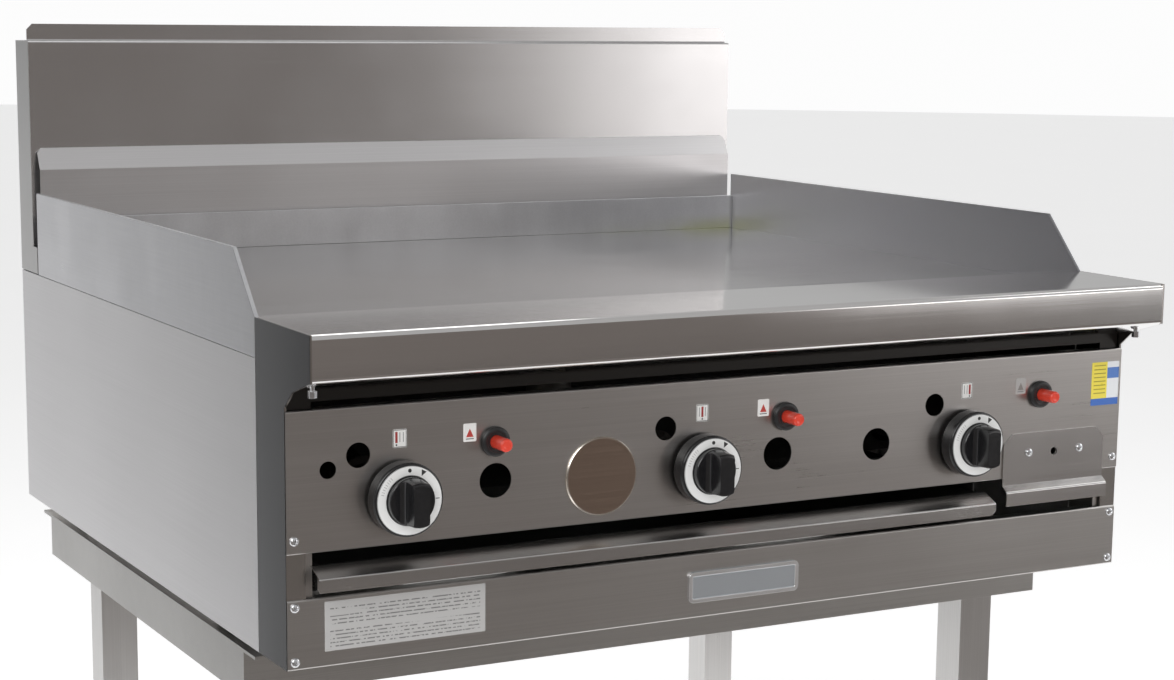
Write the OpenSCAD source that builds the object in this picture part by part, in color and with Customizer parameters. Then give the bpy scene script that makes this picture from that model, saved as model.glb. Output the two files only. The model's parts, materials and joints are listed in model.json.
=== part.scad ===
// Gas flat top griddle on a leg stand.
// Origin: on the floor under the middle of the griddle. X across, Y from front to back, Z up.
// Most pieces are drawn in body coordinates: Y from the face of the panels, Z from the body's
// lower edge, and are then put in place by in_body().

/* [Overall] */
// Width across the side panels
overall_w = 900; // [700:1:1300]
// Depth from the face of the rail to the back of the flue
overall_d = 871; // [720:1:1100]
// Floor to the top of the stand
stand_h = 610; // [450:1:760]

/* [Body] */
// Body edge above the stand
body_gap = 10; // [6:1:20]
// Thickness of the outer sheets
sheet_t = 1.2; // [0.8:0.1:2]
// Thickness of the frame sections
frame_t = 2; // [1.5:0.1:4]
// Height of the side panels, up to the plate
side_h = 259; // [240:1:320]
// Height of the lower front panel
lower_h = 61; // [45:1:66]
// Height of the control panel's lower edge
control_z = 100; // [96:1:110]
// Height of the control panel
control_h = 123; // [110:1:126]
// Return folds of the panels
fold_w = 12; // [8:1:20]
// Joint gap between outer sheets
seam = 0.5; // [0.3:0.1:1]
// Width of the corner posts
post_w = 22; // [16:1:24]

/* [Front rail] */
// Overhang of the rail in front of the panels
rail_out = 57; // [52:1:90]
// Height of the rail's face
rail_face = 39.4; // [25:0.1:50]
// Length of the rail's top behind the panels
rail_back = 79; // [70:1:95]
// Thickness of the rail
rail_t = 2; // [1.5:0.1:3]
// Outer radius of the rail's bends
rail_r = 5; // [3:0.5:8]
// Length of the end plates behind the panels
end_back = 68; // [60:1:69]
// Radius in the throat of the end plates
throat_r = 20; // [8:1:24]

/* [Griddle] */
// Thickness of the griddle plate
plate_t = 20; // [12:1:25]
// Rail top above the plate
rail_step = 13; // [8:1:16]
// Width of the grease gutter
gutter_w = 46; // [30:1:70]
// Depth of the grease gutter
gutter_deep = 42; // [25:1:50]
// Thickness of the splash guards
splash_t = 4; // [3:0.5:6]
// Height of the side splash guards above the plate
splash_h = 68; // [40:1:110]
// Height of the rear splash guard above the plate
rear_splash_h = 41; // [25:1:42]
// Length of the slope at the front of the side splash guards
splash_slope = 52; // [20:1:120]
// Diameter of the grease chute
chute_d = 48; // [30:1:50]
// Place of the grease chute across the body
chute_x = -150; // [-200:1:-100]

/* [Flue] */
// Depth of the flue
flue_d = 51; // [40:1:80]
// Height of the flue above the body's lower edge
flue_h = 514; // [420:1:700]
// Height of the lip on the flue
lip_h = 18.5; // [10:0.5:40]
// Lip behind the flue's front
lip_back = 9; // [5:1:20]
// Height of the flue front's lower edge
flue_front_z = 290; // [262:1:300]
// Height of the deflector's fold
deflector_z = 374.5; // [350:0.5:400]
// Height of the deflector's sloped part
deflector_rise = 23; // [10:1:40]
// Deflector's upright part in front of the flue
deflector_out = 13; // [8:1:14]

/* [Controls] */
// Distance between burner stations
pitch = 301; // [285:1:310]
// Centre station, from the middle of the body
centre_x = -45; // [-55:1:-20]
// Height of the valve axis
valve_z = 142.2; // [138:0.1:150]
// Diameter of the knob's skirt
knob_d = 64; // [50:1:70]
// Depth of the knob's skirt
skirt_deep = 16; // [10:1:24]
// Gap behind the knob's skirt
knob_gap = 4; // [3.5:0.1:6]
// Diameter of the grip
grip_d = 42; // [34:1:46]
// Depth of the grip's bar, from the dial
grip_deep = 26; // [16:1:30]
// Thickness of the grip's bar
grip_bar = 15; // [10:1:20]
// Thickness of the dial plate
dial_t = 0.8; // [0.5:0.1:1.5]
// Diameter of the spindle
spindle_d = 8; // [6:0.5:10]
// Travel of the knob when pushed
push_travel = 3.5; // [2:0.1:5]
// Diameter of the valve's plug
plug_d = 16; // [14:0.5:20]
// Igniter to the right of its knob
igniter_dx = 90; // [78:1:96]
// Height of the igniters
igniter_z = 183; // [178:1:190]
// Diameter of the igniter button
button_d = 12; // [8:0.5:14]
// Button in front of its bezel
button_out = 20; // [12:1:24]
// Travel of the igniter button
button_travel = 7; // [3:0.5:9]
// Radial clearance of running fits
run_fit = 0.05; // [0.02:0.01:0.1]
// Diameter of the blanking disc
blank_d = 72; // [50:1:76]
// Blanking disc, across
blank_x = -150; // [-155:1:-148]
// Blanking disc, up
blank_z = 143; // [141:1:145]
// Diameter of the lighting holes
light_d = 31; // [20:1:32]
// Height of the lighting holes
light_z = 148; // [140:1:152]
// Lighting hole of the left burner, to the right of its knob
light_left = 91; // [80:1:95]
// Lighting hole of the centre burner, to the right of its knob
light_centre = 83; // [80:1:95]
// Lighting hole of the right burner, to the left of its knob
light_right = 106; // [80:1:110]
// Diameter of the pilots' sight holes
sight_d = 22; // [14:1:24]
// Sight hole to the left of its knob
sight_dx = 38.4; // [36:0.1:44]
// Height of the sight holes
sight_z = 181; // [176:1:190]
// Diameter of the pressure tap's hole
tap_d = 15; // [8:1:18]
// Pressure tap's hole in from the left side
tap_in = 38; // [34:1:44]
// Height of the pressure tap's hole
tap_z = 170.4; // [160:0.1:190]
// Length of the badge
badge_w = 120; // [80:1:160]
// Height of the badge
badge_h = 29; // [20:1:40]
// Thickness of the badge
badge_t = 3; // [2:0.5:5]

/* [Gas] */
// Outer diameter of the gas pipe
pipe_d = 26.9; // [21.3:0.1:27]
// Wall of the gas pipe
pipe_t = 2.6; // [2:0.1:3.2]
// Bore of the gas inlet's socket
inlet_bore = 24.1; // [22:0.1:25]
// Diameter of the burner tubes
burner_d = 38; // [30:1:44]
// Wall of the burner tubes
burner_t = 1.5; // [1:0.1:2]
// Distance between the two tubes of a burner
burner_gap = 100; // [90:1:110]
// Length of the burner tubes
burner_l = 500; // [360:1:510]
// Distance between flame ports
port_step = 24; // [16:1:40]

/* [Grease tray] */
// Tray's left end in from the side of the body
tray_in = 23; // [22:1:50]
// Right end of the tray
tray_x1 = 284; // [200:1:288]
// Depth of the tray
tray_l = 480; // [300:1:520]
// Height of the tray's floor
tray_z = 66; // [65:1:68]
// Height of the tray's rim
tray_top = 89; // [84:1:92]
// Lip in front of the panels
tray_out = 17; // [10:1:25]
// Gap between the tray and the cover beside it
cover_gap = 19; // [10:1:24]
// Width of the cover beside the tray
cover_w = 126.5; // [90:0.5:128]
// Thickness of the cover
cover_t = 1.5; // [1:0.1:2]
// Thickness of the tray
tray_t = 1.5; // [1:0.1:2]

/* [Stand] */
// Sides of the stand in from the sides of the body
stand_in = 4; // [0:1:60]
// Stand rails' depth
stand_rail_h = 45; // [30:1:60]
// Stand rails' thickness
stand_t = 3; // [2:0.5:4]
// Side rails' flange width
stand_flange = 40; // [30:1:50]
// Side of the square legs
leg_w = 40; // [30:1:50]
// Wall of the legs
leg_t = 2; // [1.5:0.1:3]
// Leg's outer face from the side of the stand
leg_in = 34; // [20:1:45]
// Height of the feet when wound in
foot_h = 60; // [40:1:80]
// Diameter of the feet
foot_d = 48; // [38:1:60]
// Diameter of the foot's thread
foot_stem_d = 16; // [12:1:20]
// Travel of the feet
foot_travel = 30; // [15:1:40]

/* [Hidden] */
$fn = 48;

EPS = 0.01;
half_w = overall_w/2;
face_y = rail_out - overall_d/2;
floor_z = sheet_t + 0.3;                // underside of the body's floor, over the panels' folds
back_y = overall_d - rail_out;          // body coordinates from here on
body_z = stand_h + body_gap;
plate_z = side_h + 2;                   // underside of the plate
plate_top = plate_z + plate_t;
rail_top = plate_top + rail_step;
rail_low = rail_top - rail_face;
rail_bolt_x = half_w - 12;              // bolts through the rail's return
rail_bolt_y = -32;
screw_d = 4;
gutter_y = rail_back + seam;
plate_y = gutter_y + gutter_w;
flue_y = back_y - flue_d;
splash_end = flue_y - 17;               // rear end of the side splash guards
rear_splash_y = splash_end - splash_t - 1;
plate_end = rear_splash_y + splash_t;
control_top = control_z + control_h;
stations = [for (i = [-1:1]) centre_x + i*pitch];
light_xs = [stations[0] + light_left, stations[1] + light_centre, stations[2] - light_right];
tray_x0 = tray_in - half_w;             // left end of the tray's lip
tray_lap = 6;                           // tray's body in from the ends of its lip
panel_t = sheet_t;
bezel_out = 5;                          // igniter's bezel and nut
bezel_d = 27;
barrel_d = 20;
button_end = bezel_out + button_out;    // from the panel to the button's face
cover_screw_dx = 32;                    // cover's screws from its middle
cover_screw_z = control_z + 25;
burner_z = valve_z + 22;                // axis of the burner tubes
box_z = 112;                            // underside of the burner box
box_y0 = plate_y + 8;
box_y1 = plate_end - 14;
burner_half = burner_gap/2 + 20;        // half width of a burner's header
box_x0 = stations[0] - burner_half - 8;
box_x1 = stations[2] + burner_half + 44;
cover_x = tray_x1 + cover_gap;
manifold_y = 38;
manifold_z = 112;
pipe_x = half_w - 42;
// stand: Y from the face of the panels, as in the body
stand_w = overall_w - 2*stand_in;
stand_y0 = 89;
stand_y1 = back_y - 49;
web_in = 29;                            // rails' webs in from the ends of the side flanges
leg_x = stand_w/2 - leg_in - leg_w/2;
leg_ys = [stand_y0 + web_in + 27 + leg_w/2, stand_y1 - web_in - 31 - leg_w/2];
plate_pad = leg_w + 36;                 // side of the leg's top plate
pad_t = 4;
leg_top = stand_h - stand_t - pad_t;
bolt_off = plate_pad/2 - 9;
STEEL = [0.72, 0.72, 0.71];
DARK = [0.36, 0.35, 0.34];
BLACK = [0.05, 0.05, 0.05];
BRASS = [0.72, 0.56, 0.28];
RED = [0.75, 0.1, 0.08];

// ---- shared shapes ----

module in_body() translate([0, face_y, body_z]) children();

// Stand coordinates: Y from the face of the panels, Z from the floor
module on_floor() translate([0, face_y, 0]) children();

// Left-hand copy of a right-hand piece
module on_left() mirror([1, 0, 0]) children();

function left_of(v) = [-v[1], v[0]];
function unit(v) = v/norm(v);
function turn(a, b) = atan2(a[0]*b[1] - a[1]*b[0], a*b);
function spin(v, a) = [v[0]*cos(a) - v[1]*sin(a), v[0]*sin(a) + v[1]*cos(a)];

// Points of one bend at p, at distance k to the left of the sheet's line
function bend(p, d1, d2, r, k, n = 5) =
    let (a = turn(d1, d2), s = sign(a), c = p - d1*r*tan(abs(a)/2) + left_of(d1)*s*r)
    [for (i = [0:n]) c - left_of(spin(d1, a*i/n))*(s*r - k)];

// One side of a folded sheet with corners pts, at distance k to the left
function fold_side(pts, r, k) =
    let (m = len(pts) - 1,
        d = [for (i = [0:m - 1]) unit(pts[i + 1] - pts[i])])
    concat([pts[0] + left_of(d[0])*k],
        [for (i = [1:1:m - 1]) each bend(pts[i], d[i - 1], d[i], r, k)],
        [pts[m] + left_of(d[m - 1])*k]);

// Outline of a folded sheet: outer corners, outer bend radius, thickness to the left
module folded(pts, r, t)
    let (far = fold_side(pts, r, t))
    polygon(concat(fold_side(pts, r, 0), [for (i = [len(far) - 1:-1:0]) far[i]]));

// A front-to-back outline (Y, Z) drawn out along X from x0 to x1
module along_x(x0, x1)
    translate([x0, 0, 0]) rotate([90, 0, 90]) linear_extrude(x1 - x0) children();

// A cylinder along Y from y0 to y1 at x, z
module rod_y(x, z, d, y0, y1)
    translate([x, y0, z]) rotate([-90, 0, 0]) cylinder(d = d, h = y1 - y0);

// A box from its low corner to its high corner
module block(a, b) translate(a) cube(b - a);

// ---- body ----

module corner_post(y0, out)
    difference() {
        block([half_w - 3 - post_w, y0, floor_z], [half_w - 3, y0 + post_w, side_h - frame_t]);
        block([half_w - 3 - post_w - 1, y0 + (out > 0 ? -1 : frame_t), floor_z - 1],
              [half_w - 3 - frame_t, y0 + post_w + (out > 0 ? -frame_t : 1), side_h]);
    }

module half_frame() {
    corner_post(5, -1);
    corner_post(back_y - 5 - post_w, 1);
    // upper side rail under the plate, behind the gutter
    block([half_w - 3 - post_w, plate_y + 2, side_h - frame_t], [half_w - 3, back_y - 5, side_h]);
    // ledge that carries the griddle plate
    block([half_w - 3 - post_w, plate_y + 10, side_h - EPS],
          [half_w - splash_t - 1, plate_end - 20, plate_z]);
    // middle upright under the ledge
    block([half_w - 3 - frame_t, back_y/2, floor_z],
          [half_w - 3, back_y/2 + post_w, side_h - frame_t + EPS]);
    // skid on the stand's flange, between the legs
    block([stand_w/2 - stand_flange - 8, leg_ys[0] + plate_pad/2 + 12, -body_gap],
          [stand_w/2 - 10, leg_ys[1] - plate_pad/2 - 12, floor_z + EPS]);
}

module body_frame() color(DARK) in_body() {
    difference() {
        union() {
            block([3 - half_w, 5, floor_z], [half_w - 3, back_y - 5, floor_z + frame_t]);
            for (side = [0, 1]) mirror([side, 0, 0]) half_frame();
        }
        // round openings in the floor
        for (x = [-1, 1], y = [0.3, 0.72])
            translate([x*half_w*0.42, back_y*y, floor_z - 1]) cylinder(d = 120, h = frame_t + 2);
    }
    // cross rails at the top, front and rear
    block([3 - half_w + post_w - EPS, 5, side_h - 30],
          [half_w - 3 - post_w + EPS, 5 + frame_t, side_h - frame_t]);
    block([3 - half_w + post_w - EPS, back_y - 40, side_h - frame_t],
          [half_w - 3 - post_w + EPS, back_y - 5, side_h]);
}

module side_panel() {
    y0 = end_back + seam;
    y1 = back_y - sheet_t - seam;
    block([half_w - sheet_t, y0, 0], [half_w, y1, side_h - seam]);
    // return folds: bottom, front, rear
    block([half_w - fold_w, y0, 0], [half_w - sheet_t + EPS, y1, sheet_t - 2*EPS]);
    block([half_w - 2.9, y0, sheet_t], [half_w - sheet_t + EPS, y0 + sheet_t, side_h - seam]);
}

module end_plate()
    let (t = panel_t + 0.3) {
        along_x(half_w - rail_t, half_w) difference() {
            polygon([[-rail_out, rail_low], [-rail_out, rail_top], [end_back, rail_top],
                [end_back, 0], [t, 0], [t, control_top + 3], [-17, rail_low - 13]]);
            // throat radius between the rail's underside and the upright edge
            translate([t - throat_r, control_top - 8]) intersection() {
                circle(r = throat_r);
                square([throat_r, throat_r]);
            }
        }
        // flange that takes the panel screws
        difference() {
            block([half_w - 18, t, 4], [half_w - rail_t + EPS, t + rail_t, control_top - 12]);
            screw_holes([for (z = side_screws()) [half_w - 7, z]], screw_d + 0.1);
        }
    }

// Heights of the screws at each side of the two front panels
function side_screws() = [7, lower_h - 6.5, control_z + 12];

module rear_panel() color(STEEL) in_body()
    difference() {
        block([sheet_t - half_w, back_y - sheet_t, 0], [half_w - sheet_t, back_y, side_h - seam]);
        // cooling slots
        for (x = [-330:60:330], z = [60, 180])
            block([x - 20, back_y - 5, z], [x + 20, back_y + 1, z + 6]);
        rod_y(pipe_x, manifold_z, pipe_d + 12, back_y - 5, back_y + 5);
    }

module plate_rail() color(STEEL) in_body()
    difference() {
        along_x(rail_t - half_w, half_w - rail_t)
            folded([[-18, rail_low - 12.6], [-rail_out, rail_low], [-rail_out, rail_top],
                [rail_back, rail_top], [rail_back, rail_top - 22]], rail_r, -rail_t);
        for (s = [-1, 1]) {
            // ends cut back to fit between the side splash guards
            translate([s*half_w, end_back + 50, rail_top])
                cube([2*splash_t + 0.2, 100, 100], center = true);
            translate([s*rail_bolt_x, rail_bolt_y, rail_low - 20]) cylinder(d = screw_d + 0.6, h = 24);
        }
    }

module griddle_plate() color(STEEL) in_body()
    block([splash_t - half_w, plate_y, plate_z], [half_w - splash_t, plate_end, plate_top]);

module side_splash()
    along_x(half_w - splash_t, half_w)
        polygon([[end_back + seam, side_h], [end_back + seam, rail_top],
            [end_back + seam + splash_slope, plate_top + splash_h],
            [splash_end, plate_top + splash_h], [splash_end, side_h]]);

module rear_splash() color(STEEL) in_body()
    block([splash_t - half_w, rear_splash_y, plate_top],
          [half_w - splash_t, rear_splash_y + splash_t, plate_top + rear_splash_h]);

module grease_gutter() color(STEEL) in_body() {
    low = plate_top - 2 - gutter_deep;
    difference() {
        along_x(splash_t - half_w, half_w - splash_t)
            folded([[gutter_y, plate_top - 2], [gutter_y, low], [plate_y, low],
                [plate_y, plate_top - 2]], 4, 2);
        translate([chute_x, gutter_y + gutter_w/2, low - 1]) cylinder(d = chute_d - 10, h = 6);
    }
    // chute down to the tray
    translate([chute_x, gutter_y + gutter_w/2, tray_top + 5]) difference() {
        cylinder(d = chute_d - 6, h = low - tray_top - 5);
        translate([0, 0, -1]) cylinder(d = chute_d - 10, h = low);
    }
}

module flue_deflector() color(STEEL) in_body() {
    y = flue_y - deflector_out;
    lean = deflector_out - 1.4;
    difference() {
        along_x(6 - half_w, half_w - 6)
            folded([[y, flue_front_z], [y, deflector_z],
                [y + lean, deflector_z + deflector_rise]], 3, -sheet_t);
        // clipped upper corners
        for (s = [-1, 1])
            translate([s*(half_w - 6), y + lean, deflector_z + deflector_rise + 1])
                rotate([90, 45, 0]) cube([9, 9, 60], center = true);
    }
    // stand-off tabs to the flue
    for (x = [-300, 0, 300])
        block([x - 15, y + sheet_t - EPS, deflector_z - 40], [x + 15, flue_y, deflector_z - 20]);
}

module splashback_front() color(STEEL) in_body()
    difference() {
        along_x(0.4 - half_w, half_w - 0.4)
            folded([[flue_y, flue_front_z], [flue_y, flue_h], [flue_y + lip_back, flue_h],
                [flue_y + lip_back, flue_h + lip_h]], 2, -sheet_t);
        // clipped corners of the lip
        for (s = [-1, 1])
            translate([s*half_w, flue_y + lip_back, flue_h + lip_h + 3])
                rotate([0, 45, 0]) cube([15, 9, 15], center = true);
        // upper fold and lip fit between the shell's sides
        for (s = [-1, 1])
            translate([s*half_w, flue_y + sheet_t + 20.05, flue_h])
                cube([2*sheet_t + 0.4, 40, 3*lip_h], center = true);
    }

module splashback_shell() color(STEEL) in_body() {
    z0 = side_h + seam;
    front = flue_y + sheet_t + 0.1;
    for (side = [0, 1]) mirror([side, 0, 0]) {
        along_x(half_w - sheet_t, half_w)
            polygon([[flue_y - 14, z0], [flue_y - 14, flue_front_z - 1],
                [front, flue_front_z - 1], [front, flue_h], [back_y, flue_h], [back_y, z0]]);
        // fold behind the front sheet
        block([half_w - 20, front, flue_front_z], [half_w - sheet_t + EPS, front + sheet_t, flue_h - 4]);
    }
    block([sheet_t - half_w - EPS, back_y - sheet_t, z0], [half_w - sheet_t + EPS, back_y, flue_h]);
    // stiffening bars between front and back
    for (x = [-200, 200])
        block([x - 10, front, flue_h - 40], [x + 10, back_y - sheet_t + EPS, flue_h - 38]);
}

// ---- front ----

module panel_holes() {
    for (x = stations) {
        rod_y(x, valve_z, spindle_d + 6, -5, 5);
        rod_y(x - sight_dx, sight_z, sight_d, -5, 5);
        rod_y(x + igniter_dx, igniter_z, barrel_d + 0.4, -5, 5);
    }
    for (x = light_xs) rod_y(x, light_z, light_d, -5, 5);
    rod_y(tap_in - half_w, tap_z, tap_d, -5, 5);
    rod_y(blank_x, blank_z, blank_d - 8, -5, 5);
}

// A front panel from z0 to z1 with return folds along its upper and lower edges
module front_sheet(z0, z1)
    along_x(0.4 - half_w, half_w - 0.4)
        folded([[fold_w, z0], [0, z0], [0, z1], [fold_w, z1]], 1.8, -panel_t);

module control_panel() color(STEEL) in_body()
    difference() {
        front_sheet(control_z, control_top);
        panel_holes();
        fold_ends(control_z, control_top);
        screw_holes(cover_screws());
        screw_holes([for (s = [-1, 1]) [s*(half_w - 7), side_screws()[2]]]);
    }

// The folds of a front panel stop short of the corner posts
module fold_ends(z0, z1)
    for (s = [-1, 1])
        translate([s*half_w, panel_t + 0.1 + fold_w, (z0 + z1)/2])
            cube([2*(post_w + 6), 2*fold_w, z1 - z0 + 20], center = true);

module panel_blank() color(STEEL) in_body()
    translate([blank_x, 0, blank_z]) rotate([90, 0, 0]) {
        // dished cap with a plug that springs into the panel's hole
        rotate_extrude($fn = 96) polygon([[0, 0], [blank_d/2, 0], [blank_d/2, 1.2],
            [blank_d/2 - 1, 2], [blank_d/2 - 3, 2], [blank_d/2 - 5, 1.3], [0, 1.3]]);
        translate([0, 0, -6]) difference() {
            cylinder(d = blank_d - 8.4, h = 6 + EPS, $fn = 96);
            translate([0, 0, -1]) cylinder(d = blank_d - 11, h = 7, $fn = 96);
        }
    }

module lower_front_panel() color(STEEL) in_body()
    difference() {
        front_sheet(0, lower_h);
        fold_ends(0, lower_h);
        screw_holes([for (s = [-1, 1], i = [0, 1]) [s*(half_w - 7), side_screws()[i]]]);
    }

module badge() color(STEEL) in_body()
    translate([3, 0, lower_h/2 - 1]) rotate([90, 0, 0]) hull() {
        translate([-badge_w/2, -badge_h/2, 0]) cube([badge_w, badge_h, badge_t/2]);
        translate([2.5 - badge_w/2, 2.5 - badge_h/2, 0])
            cube([badge_w - 5, badge_h - 5, badge_t]);
    }

function cover_screws() =
    [for (s = [-1, 1]) [cover_x + cover_w/2 + s*cover_screw_dx, cover_screw_z]];

// Holes for the panel screws, listed as [x, z]
module screw_holes(list, d = screw_d + 0.6) for (p = list) rod_y(p[0], p[1], d, -6, 4);

module tray_end_cover() color(STEEL) in_body() {
    x0 = cover_x;
    x1 = cover_x + cover_w;
    difference() {
        along_x(x0, x1)
            folded([[-0.05, control_z + 45], [-0.05, control_z - 7], [-7.5, control_z - 12.5],
                [-7.5, control_z - 26]], cover_t + 0.1, -cover_t);
        // clipped upper corners
        for (x = [x0, x1])
            translate([x, 0, control_z + 46]) rotate([0, 45, 0])
                cube([16, 20, 16], center = true);
        screw_holes(cover_screws());
        rod_y(cover_x + cover_w/2, cover_screw_z - 1, 8, -6, 4);
    }
}

// Pan-head screw with a cross recess, its head on the face at y
module screw(x, z, y)
    translate([x, y, z]) rotate([90, 0, 0]) difference() {
        union() {
            rotate_extrude() polygon([[0, 0], [4.2, 0], [4.2, 0.9], [3.4, 2], [2.2, 2.7], [0, 3]]);
            translate([0, 0, -4.7]) cylinder(d = screw_d, h = 4.7 + EPS);
        }
        for (a = [0, 90]) rotate([0, 0, a + 20]) translate([-2, -0.4, 1.4]) cube([4, 0.8, 2]);
    }

module front_screws() color("silver") in_body() {
    for (s = [-1, 1], z = side_screws()) screw(s*(half_w - 7), z, 0);
    for (p = cover_screws()) screw(p[0], p[1], -cover_t - 0.05);
    // bolts up into the rail's ends
    for (s = [-1, 1])
        translate([s*rail_bolt_x, rail_bolt_y, rail_low - 16]) {
            cylinder(d = 7, h = 6, $fn = 6);
            cylinder(d = screw_d, h = 18);
        }
}

// ---- burners and gas ----

module burner_box() color(DARK) in_body()
    difference() {
        block([box_x0, box_y0, box_z], [box_x1, box_y1, plate_z - 4]);
        block([box_x0 + frame_t, box_y0 + frame_t, box_z + frame_t],
              [box_x1 - frame_t, box_y1 - frame_t, plate_z]);
        for (x = stations) rod_y(x, valve_z, burner_d + 6, box_y0 - 1, box_y0 + 5);
        // flue opening in the rear wall
        block([box_x0 + 30, box_y1 - 5, plate_z - 60], [box_x1 - 30, box_y1 + 1, plate_z]);
        // air slots in the floor under each burner
        for (x = stations, y = [box_y0 + 90:120:box_y1 - 60])
            block([x - 20, y, box_z - 1], [x + 20, y + 30, box_z + frame_t + 1]);
    }

module burner(x) color(DARK) in_body() {
    head_y = box_y0 + 18;
    tube_end = min(head_y + 20 + burner_l, box_y1 - 10);
    inner = burner_d - 2*burner_t;
    difference() {
        union() {
            // mixing tube with a flared mouth
            rod_y(x, valve_z, burner_d - 6, 82, head_y + 2);
            translate([x, 82, valve_z]) rotate([-90, 0, 0])
                cylinder(d1 = burner_d + 4, d2 = burner_d - 6, h = 22, $fn = 64);
            // header across the front
            block([x - burner_half, head_y, box_z + frame_t],
                  [x + burner_half, head_y + 40, burner_z + burner_d/2]);
            for (s = [-1, 1]) rod_y(x + s*burner_gap/2, burner_z, burner_d, head_y + 35, tube_end);
        }
        rod_y(x, valve_z, burner_d - 10, 81, head_y + 5);
        block([x - burner_half + 2, head_y + 2, box_z + frame_t + 2],
              [x + burner_half - 2, head_y + 38, burner_z + burner_d/2 - 2]);
        for (s = [-1, 1]) {
            rod_y(x + s*burner_gap/2, burner_z, inner, head_y + 34, tube_end - 2);
            // flame ports along the top of each tube
            for (y = [head_y + 60:port_step:tube_end - 20])
                translate([x + s*burner_gap/2, y, burner_z]) cylinder(d = 4, h = burner_d, $fn = 16);
        }
        // air openings in the mixing tube
        translate([x, 112, valve_z]) cube([burner_d + 10, 12, 12], center = true);
    }
    // foot under each tube's end
    for (s = [-1, 1])
        block([x + s*burner_gap/2 - 10, tube_end - 4, box_z + frame_t],
              [x + s*burner_gap/2 + 10, tube_end, burner_z - burner_d/2 + 4]);
}

module gas_pipework() color(DARK) in_body() {
    x0 = stations[0] - 40;
    bore = pipe_d - 2*pipe_t;
    socket_d = pipe_d + 7;
    difference() {
        union() {
            pipe_run(x0, pipe_d);
            // elbow fitting at the corner
            translate([pipe_x, manifold_y, manifold_z]) {
                sphere(d = socket_d);
                rotate([0, -90, 0]) cylinder(d = socket_d, h = 26);
                rotate([-90, 0, 0]) cylinder(d = socket_d, h = 26);
            }
            // end cap
            translate([x0 - 4, manifold_y, manifold_z]) rotate([0, 90, 0])
                cylinder(d = socket_d, h = 22);
            // socket for the supply
            rod_y(pipe_x, manifold_z, socket_d, back_y - 36, back_y);
        }
        pipe_run(x0 + 2, bore);
        rod_y(pipe_x, manifold_z, inlet_bore, back_y - 18, back_y + 1);
    }
}

// The pipe's line, from its end at x0 round the corner and out at the back
module pipe_run(x0, d) {
    translate([x0, manifold_y, manifold_z]) rotate([0, 90, 0]) cylinder(d = d, h = pipe_x - x0);
    rod_y(pipe_x, manifold_z, d, manifold_y, back_y);
}

module valve(x) color(BRASS) in_body()
    difference() {
        union() {
            rod_y(x, valve_z, plug_d + 14, 16, 62);
            rod_y(x, valve_z, plug_d + 6, 10, 16 + EPS);
            // inlet saddle on the manifold
            translate([x, manifold_y, manifold_z + pipe_d/2 - 2])
                cylinder(d = 20, h = valve_z - manifold_z - 14);
            // injector facing the burner's mouth
            rod_y(x, valve_z, 14, 62 - EPS, 78);
        }
        rod_y(x, valve_z, spindle_d + 1, 9, 22);
        rod_y(x, valve_z, plug_d + 2*run_fit, 21.7, 52.3);
        rod_y(x, valve_z, 5, 52, 70);
        rod_y(x, valve_z, 2.2, 69, 79);
        // seat of the saddle on the round pipe
        translate([x - 20, manifold_y, manifold_z]) rotate([0, 90, 0]) cylinder(d = pipe_d, h = 40);
    }

// D-shaped section of a spindle: diameter d, flat at its side
module d_rod(x, d, y0, y1)
    difference() {
        rod_y(x, valve_z, d, y0, y1);
        block([x - d, y0 - 1, valve_z + d*0.32], [x + d, y1 + 1, valve_z + d]);
    }

module valve_plug(x) color(BRASS) in_body()
    difference() {
        rod_y(x, valve_z, plug_d, 22, 52);
        d_rod(x, spindle_d + 2*run_fit, 21, 40);
        // gas way through the plug
        translate([x, 46, valve_z]) cylinder(d = 5, h = plug_d, center = true);
    }

module spindle(x) color("silver") in_body() d_rod(x, spindle_d, -knob_gap - skirt_deep + 2, 32);

module knob(x) color(BLACK) in_body() {
    y0 = -knob_gap;
    y1 = -knob_gap - skirt_deep;
    difference() {
        union() {
            translate([x, y0, valve_z]) rotate([90, 0, 0]) rotate_extrude($fn = 96)
                polygon([[0, 0], [knob_d/2 - 1, 0], [knob_d/2, 1], [knob_d/2, skirt_deep - 4],
                    [knob_d/2 - 1.5, skirt_deep], [0, skirt_deep]]);
            rod_y(x, valve_z, grip_d, y1 - 7, y1 + EPS);
            // bar of the grip
            translate([x, y1 - grip_deep, valve_z]) rotate([-90, 0, 0]) intersection() {
                cylinder(d = grip_d + 4, h = grip_deep - 2, $fn = 96);
                translate([-grip_bar/2, -grip_d, 0]) cube([grip_bar, 2*grip_d, grip_deep]);
            }
        }
        // hollow back of the skirt around the hub
        difference() {
            rod_y(x, valve_z, knob_d - 6, y1 + 4, y0 + 1);
            rod_y(x, valve_z, spindle_d + 10, y1, y0 + 2);
        }
        d_rod(x, spindle_d, y1 + 2, y0 + 2);
    }
}

module dial(x) color("white") in_body()
    difference() {
        rod_y(x, valve_z, knob_d - 4, -knob_gap - skirt_deep - dial_t, -knob_gap - skirt_deep);
        rod_y(x, valve_z, grip_d + 0.2, -50, 0);
    }

module igniter(x) color(BLACK) in_body()
    difference() {
        union() {
            rod_y(x, igniter_z, bezel_d, -bezel_out, 0);
            rod_y(x, igniter_z, barrel_d, -EPS, 52);
            // nut behind the panel
            translate([x, panel_t, igniter_z]) rotate([-90, 0, 0])
                cylinder(d = bezel_d + 2, h = bezel_out, $fn = 6);
            rod_y(x, igniter_z, 4, 52 - EPS, 60);
        }
        rod_y(x, igniter_z, button_d + 2*run_fit, -bezel_out - 1, 3);
        rod_y(x, igniter_z, button_d + 4, 2, 46);
    }

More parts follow.
